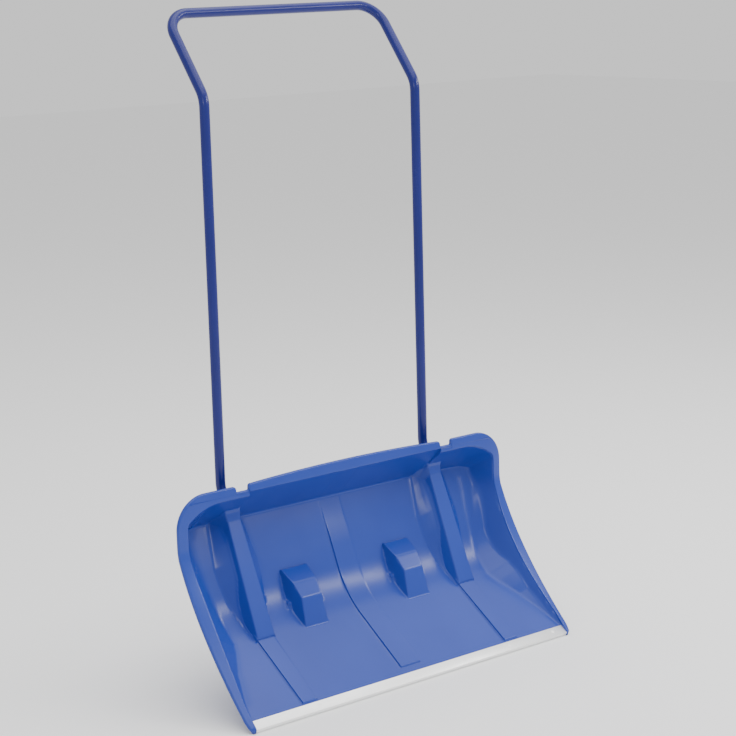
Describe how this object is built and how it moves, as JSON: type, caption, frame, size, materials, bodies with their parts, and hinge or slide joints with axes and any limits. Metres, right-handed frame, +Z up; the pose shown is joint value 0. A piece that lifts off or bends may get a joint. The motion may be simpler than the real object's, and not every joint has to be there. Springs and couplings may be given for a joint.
{
  "type": "snow pusher",
  "caption": "Wide moulded snow pusher with an aluminium edge, carried by a U-shaped bent tube handle, with small wheels under moulded arches behind the scoop.",
  "frame": {"origin": "on the ground, at the middle of the footprint of the upright pusher standing on its front edge", "axes": "+Z up along the handle's long legs, -Y forward out of the scoop's mouth, X across the width"},
  "size_m": [0.823, 0.4226, 1.3128],
  "materials": {
    "moulded_blue": "satin moulded",
    "painted_tube": "gloss powder coat",
    "aluminium": "plain rolled",
    "zinc_steel": "zinc plated",
    "black_plastic": "matt moulded"
  },
  "bodies": {
    "pusher": {"scoop": "moulded_blue", "wear_strip": "aluminium", "wear_strip_rivet_1": "aluminium", "wear_strip_rivet_2": "aluminium", "wear_strip_rivet_3": "aluminium", "wear_strip_rivet_4": "aluminium", "wear_strip_rivet_5": "aluminium", "wear_strip_rivet_6": "aluminium", "wear_strip_rivet_7": "aluminium", "handle_tube": "painted_tube", "tube_plug_left": "black_plastic", "tube_plug_right": "black_plastic", "tube_clamp_left_1": "zinc_steel", "tube_clamp_left_2": "zinc_steel", "tube_clamp_right_1": "zinc_steel", "tube_clamp_right_2": "zinc_steel", "clamp_screw_left_1_a": "zinc_steel", "clamp_screw_left_1_b": "zinc_steel", "clamp_screw_left_2_a": "zinc_steel", "clamp_screw_left_2_b": "zinc_steel", "clamp_screw_right_1_a": "zinc_steel", "clamp_screw_right_1_b": "zinc_steel", "clamp_screw_right_2_a": "zinc_steel", "clamp_screw_right_2_b": "zinc_steel", "wheel_axle_left": "zinc_steel", "wheel_axle_right": "zinc_steel"},
    "wheel_left": {"wheel_left": "black_plastic"},
    "wheel_right": {"wheel_right": "black_plastic"}
  },
  "joints": [
    {"name": "wheel_left_spin", "type": "hinge", "parent": "pusher", "child": "wheel_left", "pos_m": [-0.1314, -0.00664, 0.14787], "axis": [1, 0, 0], "continuous": true},
    {"name": "wheel_right_spin", "type": "hinge", "parent": "pusher", "child": "wheel_right", "pos_m": [0.1314, -0.00664, 0.14787], "axis": [1, 0, 0], "continuous": true}
  ]
}
